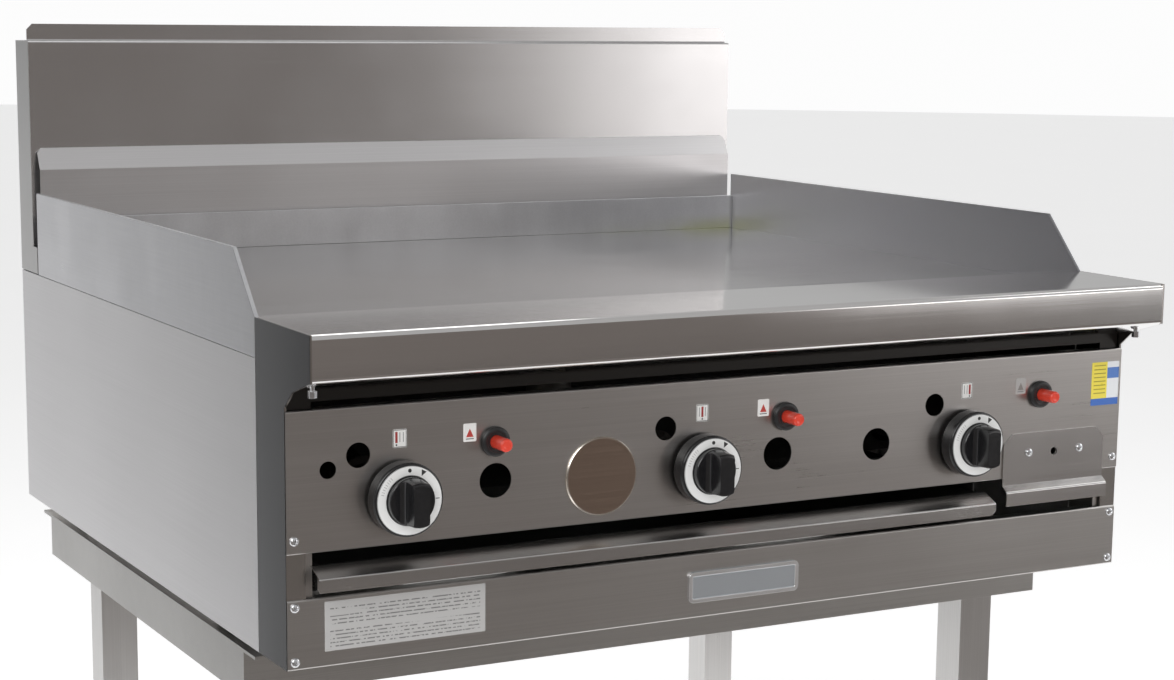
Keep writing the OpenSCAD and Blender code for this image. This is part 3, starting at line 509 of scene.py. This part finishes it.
# Painted highlight: a pale ring round the disc's edge, where its rim catches the light.
out = ((disc_steel.x - disc_middle.x) ** 2 + (disc_steel.z - disc_middle.z) ** 2) ** 0.5
disc_steel.paint(out.rising(disc_r * 0.94, disc_r * 0.97), (0.86, 0.80, 0.72))
eased("panel_blank", disc_steel, 0.4 * MM, 3)

# ---- Grease tray ----
# A folded stainless tray with an upturned pouring lip along its front. It hangs on two angle
# runners and slides out under the control panel.

tray_steel = stainless("tray_stainless", (0.60, 0.59, 0.58), 0.24, streak=0.9, smudge=0.08)
eased("grease_tray", tray_steel)

# ---- Panel screws ----
# Zinc-plated pan-head screws with a cross recess hold the two panels to the end plates and the
# cover to the control panel. Two bolts go up into the ends of the rail. The control panel has a
# hole behind the one in the cover.


def turned(name, axis, profile, sides=96, ring=False):
    """A closed piece turned about a front-to-back axis at (x, z), from pairs of (y, radius)."""
    across, up = axis
    y, radius = profile[0]
    bpy.ops.object.select_all(action="DESELECT")
    bpy.ops.mesh.primitive_circle_add(
        vertices=sides, radius=radius, fill_type="NOTHING" if ring else "NGON",
        location=(across, y, up), rotation=(math.pi / 2, 0, 0))
    piece = bpy.context.object
    piece.name = name
    bpy.ops.object.transform_apply()
    bpy.ops.object.mode_set(mode="EDIT")
    bpy.ops.mesh.select_all(action="SELECT")
    for next_y, next_radius in profile[1:] + (profile[:1] if ring else []):
        if ring:
            bpy.ops.mesh.extrude_edges_move(TRANSFORM_OT_translate={"value": (0, next_y - y, 0)})
        else:
            bpy.ops.mesh.extrude_region_move(TRANSFORM_OT_translate={"value": (0, next_y - y, 0)})
        scale = next_radius / radius
        bpy.ops.transform.resize(value=(scale, 1, scale), center_override=(across, next_y, up))
        y, radius = next_y, next_radius
    bpy.ops.mesh.select_all(action="SELECT")
    bpy.ops.mesh.remove_doubles(threshold=0.005 * MM)
    bpy.ops.mesh.normals_make_consistent(inside=False)
    bpy.ops.object.mode_set(mode="OBJECT")
    return piece


def block(name, low, high):
    """A box between two corners, as stock to cut from."""
    low, high = Vector(low), Vector(high)
    bpy.ops.object.select_all(action="DESELECT")
    bpy.ops.mesh.primitive_cube_add(size=1.0, location=(low + high) / 2)
    piece = bpy.context.object
    piece.name = name
    piece.scale = high - low
    bpy.ops.object.transform_apply()
    return piece


def cut(piece, cutter, operation="DIFFERENCE"):
    """Takes the cutter away from the piece, or joins it on, and throws the cutter away."""
    only(piece)
    carve = piece.modifiers.new("carve", "BOOLEAN")
    carve.object, carve.operation, carve.solver = cutter, operation, "EXACT"
    bpy.ops.object.modifier_apply(modifier="carve")
    bpy.data.objects.remove(cutter)
    return piece


def copied(piece, name, across, back, up):
    """A copy with its own mesh, moved by that much."""
    copy = bpy.data.objects.new(name, piece.data.copy())
    bpy.context.scene.collection.objects.link(copy)
    copy.data.transform(Matrix.Translation((across, back, up)))
    return copy


lower_low, lower_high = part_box("lower_front_panel")
cover_low, cover_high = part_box("tray_end_cover")
face_y = panel_low.y
HEAD_R, SHANK_R = 4.2 * MM, 2 * MM
SCREW_IN = 7 * MM               # from the ends of the panels
BESIDE = 32 * MM                # from the cover's middle to its screws
COVER_OUT = 1.55 * MM           # from the control panel's face to the heads of the cover's screws
HOLE_R = 3.7 * MM
screw_ups = [lower_low.z + 7 * MM, lower_high.z - 6.5 * MM, panel_low.z + 12 * MM]
end = panel_high.x + 0.4 * MM - SCREW_IN
screw_places = [(x, face_y, z) for x in (-end, end) for z in screw_ups]
cover_middle = (cover_low.x + cover_high.x) / 2
screw_places += [(cover_middle + side * BESIDE, face_y - COVER_OUT, panel_low.z + 25 * MM)
                 for side in (-1, 1)]

cut(panel, turned("cover_hole", (cover_middle, panel_low.z + 24 * MM),
                  [(face_y - 5 * MM, HOLE_R), (face_y + 5 * MM, HOLE_R)], 32))
bpy.ops.mesh.customdata_custom_splitnormals_clear()
smoothed(panel, 35)
stock = turned("panel_screw", (0, 0), [
    (4.7 * MM, SHANK_R), (0, SHANK_R), (0, HEAD_R), (-0.9 * MM, HEAD_R),
    (-1.9 * MM, 3.6 * MM), (-2.6 * MM, 2.4 * MM), (-2.9 * MM, 0.9 * MM)], sides=48)
rounded(stock, 0.25 * MM, 2, 25, 50)
for turn in (0, 1):
    arm = block("arm", (-2.1 * MM, -3.5 * MM, -0.42 * MM), (2.1 * MM, -1.3 * MM, 0.42 * MM))
    arm.rotation_euler = (0, math.radians(20 + 90 * turn), 0)
    only(arm)
    bpy.ops.object.transform_apply()
    cut(stock, arm)
only(stock)
bpy.ops.object.shade_smooth_by_angle(angle=math.radians(35))
for i, (x, y, z) in enumerate(screw_places):
    screw = copied(stock, f"panel_screw_{i + 1}", x, y, z)
    clad(screw, bright, "griddle")
    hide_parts("front_screws")
bpy.data.objects.remove(stock)
rail_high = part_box("plate_rail")[1]
screws_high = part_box("front_screws")[1]
END_PLATE_T, BOLT_IN = 2 * MM, 12 * MM
for i, side in enumerate((-1, 1)):
    across, back = side * (rail_high.x + END_PLATE_T - BOLT_IN), face_y - 32 * MM
    bpy.ops.object.select_all(action="DESELECT")
    bpy.ops.mesh.primitive_cylinder_add(vertices=6, radius=4 * MM, depth=6 * MM,
                                        location=(across, back, screws_high.z - 15 * MM))
    head = bpy.context.object
    bpy.ops.object.transform_apply()
    bpy.ops.mesh.primitive_cylinder_add(vertices=32, radius=2 * MM, depth=17.9 * MM,
                                        location=(across, back, screws_high.z - 8.95 * MM))
    shank = bpy.context.object
    bpy.ops.object.transform_apply()
    cut(head, shank, "UNION")
    head.name = f"rail_bolt_{i + 1}"
    rounded(head, 0.4 * MM, 2)
    clad(head, bright, "griddle")
    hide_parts("front_screws")

# ---- Badge ----
# A blank die-cast plate, with a raised satin rim round a sunk grey field, stuck to the lower
# panel on two pins.

badge_low, badge_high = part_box("badge")
badge = block("badge_plate", badge_low, badge_high)
RIM, SUNK, CORNER = 3.6 * MM, 0.8 * MM, 5 * MM


def upright_edges(piece):
    """Selects the edges that run front to back."""
    select_edges(piece, lambda a, b: abs(a.y - b.y) > 0.9 * (a - b).length)


def front_face(piece):
    """Selects the face at the very front."""
    bpy.ops.object.mode_set(mode="OBJECT")
    front = min(v.co.y for v in piece.data.vertices)
    bpy.ops.object.mode_set(mode="EDIT")
    bpy.ops.mesh.select_mode(type="FACE")
    bpy.ops.mesh.select_all(action="DESELECT")
    bpy.ops.object.mode_set(mode="OBJECT")
    for face in piece.data.polygons:
        face.select = face.normal.y < -0.9 and face.center.y < front + 0.01 * MM
    bpy.ops.object.mode_set(mode="EDIT")


upright_edges(badge)
bpy.ops.mesh.bevel(offset=CORNER, segments=6, affect="EDGES")
front_face(badge)
bpy.ops.mesh.inset(thickness=RIM, depth=0)
bpy.ops.mesh.inset(thickness=0.5 * MM, depth=-SUNK)
bpy.ops.object.mode_set(mode="OBJECT")
rounded(badge, 0.35 * MM, 3, 25)
satin = Finish("badge_metal", (0.66, 0.66, 0.67), 0.3)
inside = satin.y.rising(badge_low.y + SUNK * 0.4, badge_low.y + SUNK * 0.9)
edge_out = abs(satin.x - (badge_low.x + badge_high.x) / 2)
grain = satin.noise((40, 40, 900), 3)
field_edge = (badge_high.x - badge_low.x) / 2 - RIM
field = inside * (1 - edge_out.rising(field_edge - 0.1 * MM, field_edge))
satin.set("Base Color", satin.mix(field, (0.84, 0.84, 0.85), (0.60, 0.64, 0.68)))
satin.set("Roughness", 0.36 + (grain - 0.5) * 0.14 + field * 0.10)
satin.bump(grain, 0.02 * MM)
clad(badge, satin, "griddle")
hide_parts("badge")

# ---- Labels ----
# Printed vinyl, 0.15 mm thick with rounded corners: a symbol over each knob and beside each
# igniter, a coloured gas label at the panel's right end, and a silver label with ruled lines.

LABEL_T = 0.15 * MM


def label(name, low_x, high_x, low_z, high_z, finish, corner=1.0 * MM):
    """A thin label on the front panels, with rounded corners."""
    piece = block(name, (low_x, face_y - LABEL_T, low_z), (high_x, face_y, high_z))
    upright_edges(piece)
    bpy.ops.mesh.bevel(offset=corner, segments=4, affect="EDGES")
    bpy.ops.object.mode_set(mode="OBJECT")
    rounded(piece, 0.04 * MM, 2)
    piece.data.materials.append(finish.material)
    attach(piece, "griddle")
    return piece


def printed(name, paper, roughness=0.4):
    """Label stock with a faint sheen and a little dirt; marks are then printed on it."""
    finish = Finish(name, paper, roughness, metallic=0.0)
    dirt = finish.noise((60, 60, 60), 4)
    finish.set("Roughness", roughness + (dirt - 0.5) * 0.15)
    finish.set("Base Color", finish.mix(dirt * 0.12, paper, (0.45, 0.42, 0.38)))
    return finish


def box_mask(finish, middle_x, middle_z, half_w, half_h):
    """1 inside a rectangle."""
    inside_w = abs(finish.x - middle_x) < half_w
    return inside_w * (abs(finish.z - middle_z) < half_h)


BLACK_INK, RED_INK = (0.03, 0.03, 0.03), (0.34, 0.03, 0.03)
knob_boxes = {station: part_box("knob_" + station) for station in STATIONS}
button_boxes = {station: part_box("igniter_button_" + station) for station in STATIONS}
ICON_UP = 192.5 * MM + lower_low.z
ICON_HALF_H = 8 * MM
ICON_BESIDE = 24 * MM           # from an igniter's axis to its symbol's middle, on the left
BAR_APART = 3.2 * MM


def symbol(name, x, half_w, finish):
    label(name, x - half_w, x + half_w, ICON_UP - ICON_HALF_H, ICON_UP + ICON_HALF_H, finish)


for shift, station in zip((-1, 0, 1), STATIONS):
    low, high = knob_boxes[station]
    x = (low.x + high.x) / 2
    stock = printed("knob_symbol_" + station, (0.82, 0.81, 0.79))
    frame_ink = 1 - box_mask(stock, x, ICON_UP, 5.6 * MM, 7.1 * MM)
    stock.paint(frame_ink * box_mask(stock, x, ICON_UP, 6.1 * MM, 7.6 * MM), BLACK_INK)
    for bar in (-1, 0, 1):
        on = bar == shift
        mask = box_mask(stock, x + bar * BAR_APART, ICON_UP + 1 * MM, (1.1 if on else 0.35) * MM,
                        (4.8 if on else 4.2) * MM)
        stock.paint(mask, RED_INK if on else (0.25, 0.25, 0.25))
    dot = (stock.x - (x + shift * BAR_APART)) ** 2 + (stock.z - (ICON_UP - 5.6 * MM)) ** 2
    stock.paint(dot < (0.8 * MM) ** 2, BLACK_INK)
    symbol("symbol_knob_" + station, x, 6.5 * MM, stock)

    low, high = button_boxes[station]
    x = (low.x + high.x) / 2 - ICON_BESIDE
    faded = station == "right"
    stock = printed("igniter_symbol_" + station,
                    (0.42, 0.41, 0.40) if faded else (0.84, 0.83, 0.81))
    rise = (stock.z - (ICON_UP - 4 * MM)) / (7.5 * MM)
    flame = (abs(stock.x - x) < (1 - rise) * (3.6 * MM)) * (rise > 0)
    stock.paint(flame, (0.22, 0.20, 0.19) if faded else (0.50, 0.05, 0.04))
    stock.paint(box_mask(stock, x, ICON_UP - 5.6 * MM, 3.8 * MM, 0.5 * MM), (0.2, 0.2, 0.2))
    symbol("symbol_igniter_" + station, x, 6.25 * MM, stock)

GAS_LABEL = (412 * MM, 447 * MM, lower_low.z + 166 * MM, lower_low.z + 210 * MM)
stock = printed("gas_label", (0.86, 0.72, 0.07), 0.3)
split = GAS_LABEL[0] + 20 * MM
low_z = GAS_LABEL[2]
stock.paint(stock.x > split, (0.80, 0.82, 0.84))
stock.paint((stock.x > split) * (stock.z > low_z + 27 * MM) * (stock.z < low_z + 38 * MM),
    (0.10, 0.22, 0.55))
rows = (stock.z - low_z).maths("MODULO", 4 * MM) < 1.0 * MM
stock.paint(rows * (stock.x < split - 2 * MM) * (stock.x > GAS_LABEL[0] + 3 * MM)
    * (stock.z > low_z + 10 * MM), (0.36, 0.30, 0.04))
stock.paint(stock.z < low_z + 7 * MM, (0.06, 0.16, 0.50))
label("label_gas", *GAS_LABEL, stock)

RULED_LABEL = (-416 * MM, -264.5 * MM, lower_low.z + 13.5 * MM, lower_low.z + 57 * MM)
stock = printed("ruled_label", (0.60, 0.595, 0.59), 0.36)
stock.set("Metallic", 0.35)
up = stock.z - RULED_LABEL[2]
row = up.maths("MODULO", 3.3 * MM)
rules = (row < 1.1 * MM) * (up > 3.2 * MM) * (up < 39.5 * MM)
gaps = (stock.noise((420, 1, 300), 1).rising(0.40, 0.5)
        * stock.noise((9, 1, 300), 1).rising(0.36, 0.4))
inset = (stock.x > RULED_LABEL[0] + 5 * MM) * (stock.x < RULED_LABEL[1] - 5 * MM)
blank_row = 1 - (up > 19.5 * MM) * (up < 23 * MM)
stock.paint(rules * gaps * inset * blank_row * 0.75, (0.12, 0.12, 0.12))
label("label_ruled", *RULED_LABEL, stock, corner=0.6 * MM)

# ---- Knobs ----
# Moulded black phenolic, pushed on the tap's flattened spindle: a skirt with a hollow back, a
# printed aluminium dial ring let into its face, and a round grip with a bar across it.

bakelite = mottled("knob_black", (0.010, 0.010, 0.011), 0.22, 300, metallic=0.0,
                   depth=0.01 * MM, change=0.25, Coat_Weight=0.15, Coat_Roughness=0.08)


def knob(station):
    """The skirt, the grip and the dial ring of one tap's knob."""
    low, high = knob_boxes[station]
    axis = ((low.x + high.x) / 2, (low.z + high.z) / 2)
    skirt_r = (high.x - low.x) / 2
    dial_low, dial_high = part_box("dial_" + station)
    dial_back, dial_front = dial_high.y, dial_low.y
    wall, hub_r = 3 * MM, 9 * MM
    bore_r = hub_r - 3 * MM
    skirt = turned("skirt_" + station, axis, [
        (high.y, skirt_r - wall), (high.y, skirt_r - 0.6 * MM), (high.y - 0.8 * MM, skirt_r),
        (dial_back + 3.2 * MM, skirt_r), (dial_back + 2.6 * MM, skirt_r - 0.5 * MM),
        (dial_back + 1.8 * MM, skirt_r - 0.5 * MM), (dial_back + 1.2 * MM, skirt_r - 0.1 * MM),
        (dial_back + 0.6 * MM, skirt_r - 0.6 * MM),
        (dial_back, skirt_r - 1.6 * MM), (dial_back, bore_r), (high.y, bore_r),
        (high.y, hub_r), (dial_back + 4 * MM, hub_r), (dial_back + 4 * MM, skirt_r - wall)],
        ring=True)
    rounded(skirt, 0.25 * MM, 2, 35)
    clad(skirt, bakelite, "control_" + station)
    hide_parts("knob_" + station)

    grip_r = 21 * MM
    front = low.y
    grip = turned("grip_" + station, axis, [
        (dial_back, grip_r), (dial_front - 5.5 * MM, grip_r),
        (dial_front - 6.2 * MM, grip_r - 0.6 * MM), (front + 3 * MM, grip_r - 1.6 * MM),
        (front + 1 * MM, grip_r - 2.6 * MM), (front, grip_r - 5 * MM)])
    for side in (-1, 1):
        near, far = side * 7.4 * MM, side * 30 * MM
        pocket = block("pocket", (axis[0] + min(near, far), front - 5 * MM, axis[1] - 30 * MM),
                       (axis[0] + max(near, far), dial_front - 6.2 * MM, axis[1] + 30 * MM))
        select_edges(pocket, lambda *both: all(
            abs(abs(p.x - axis[0]) - abs(near)) < 0.1 * MM and p.y > front for p in both))
        bpy.ops.mesh.bevel(offset=5 * MM, segments=8, affect="EDGES")
        bpy.ops.object.mode_set(mode="OBJECT")
        cut(grip, pocket)
    rounded(grip, 0.9 * MM, 4, 40)
    clad(grip, bakelite, "control_" + station)
    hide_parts("knob_" + station)

    ring_out, ring_in = 30 * MM, 21.3 * MM
    ring = turned("ring_" + station, axis, [
        (dial_back, ring_in), (dial_back, ring_out), (dial_front + 0.2 * MM, ring_out),
        (dial_front, ring_out - 0.3 * MM), (dial_front, ring_in)], ring=True)
    only(ring)
    bpy.ops.object.shade_smooth_by_angle(angle=math.radians(30))
    dial = printed("dial_print_" + station, (0.80, 0.80, 0.79), 0.35)
    dx, dz = dial.x - axis[0], dial.z - axis[1]
    reach = (dx * dx + dz * dz) ** 0.5

    def turned_by(degrees):
        """Along and across a spoke, clockwise from the top."""
        c, s = math.cos(math.radians(degrees)), math.sin(math.radians(degrees))
        return dz * c + dx * s, dx * c - dz * s

    dial.paint(reach < ring_in + 0.7 * MM, (0.10, 0.10, 0.10))
    dial.paint(reach > ring_out - 0.5 * MM, (0.30, 0.30, 0.30))
    along, side = turned_by(0)
    dial.paint(((along - 26 * MM) ** 2 + side ** 2) < (1.7 * MM) ** 2, BLACK_INK)
    along, side = turned_by(28)
    dial.paint((abs(side) < (along - 23.2 * MM) * 0.5) * (along < 28.4 * MM) * (along > 23 * MM),
        BLACK_INK)
    along, side = turned_by(90)
    dial.paint((abs(side) < 0.4 * MM) * (along > 24 * MM) * (along < 27.6 * MM), BLACK_INK)
    for degrees in range(285, 321, 5):
        along, side = turned_by(degrees)
        dial.paint((abs(side) < 0.25 * MM) * (along > 24.6 * MM) * (along < 27.4 * MM),
            (0.35, 0.35, 0.35))
    clad(ring, dial, "control_" + station)
    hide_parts("dial_" + station)


for station in STATIONS:
    knob(station)

# ---- Igniters ----
# Push-button spark units: a black moulded bezel screwed through the panel, with a ribbed nut
# behind, and a red button that springs out of it.

button_black = mottled("igniter_black", (0.02, 0.02, 0.021), 0.35, 200, metallic=0.0,
                       depth=0.03 * MM)
button_red = mottled("button_red", (0.70, 0.055, 0.03), 0.22, 160, metallic=0.0,
                     depth=0.01 * MM, change=0.1, Coat_Weight=0.4, Coat_Roughness=0.1)
for station in STATIONS:
    low, high = button_boxes[station]
    body_low, body_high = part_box("igniter_" + station)
    axis = ((low.x + high.x) / 2, (body_low.z + body_high.z) / 2)
    front, rear = body_low.y, body_high.y
    bore = 6.2 * MM
    bezel = turned("bezel_" + station, axis, [
        (face_y, 13.5 * MM), (front + 1.2 * MM, 13.2 * MM), (front + 0.3 * MM, 12.2 * MM),
        (front, 11 * MM), (front, 9.4 * MM), (front + 0.8 * MM, 8.8 * MM),
        (front + 0.8 * MM, bore), (face_y + 3 * MM, bore), (face_y + 3 * MM, 8 * MM),
        (face_y + 46 * MM, 8 * MM), (face_y + 46 * MM, 10 * MM), (face_y + 6.3 * MM, 10 * MM),
        (face_y + 6.3 * MM, 14 * MM), (face_y + 1.3 * MM, 14 * MM), (face_y + 1.3 * MM, 10 * MM),
        (face_y, 10 * MM)], ring=True)
    rounded(bezel, 0.3 * MM, 2, 50, 35)
    tail = turned("terminal_" + station, axis, [
        (face_y + 46 * MM, 10 * MM), (face_y + 52 * MM, 10 * MM), (face_y + 52 * MM, 2 * MM),
        (rear, 2 * MM)], 48)
    rounded(tail, 0.4 * MM, 2)
    for piece in (bezel, tail):
        clad(piece, button_black, "griddle")
        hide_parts("igniter_" + station)

    tip, button_r = low.y, 6 * MM
    button = turned("button_" + station, axis, [
        (high.y, 2.5 * MM), (face_y + 5 * MM, 2.5 * MM), (face_y + 5 * MM, 7.5 * MM),
        (face_y + 2.6 * MM, 7.5 * MM), (face_y + 2.5 * MM, button_r), (tip + 2 * MM, button_r),
        (tip + 0.7 * MM, button_r - 0.5 * MM), (tip + 0.1 * MM, button_r - 1.5 * MM),
        (tip, button_r - 2.4 * MM), (tip + 0.25 * MM, button_r - 3.2 * MM),
        (tip + 0.5 * MM, button_r - 4.8 * MM)], 64)
    rounded(button, 0.2 * MM, 2, 50, 45)
    clad(button, button_red, "button_" + station)
    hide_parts("igniter_button_" + station)
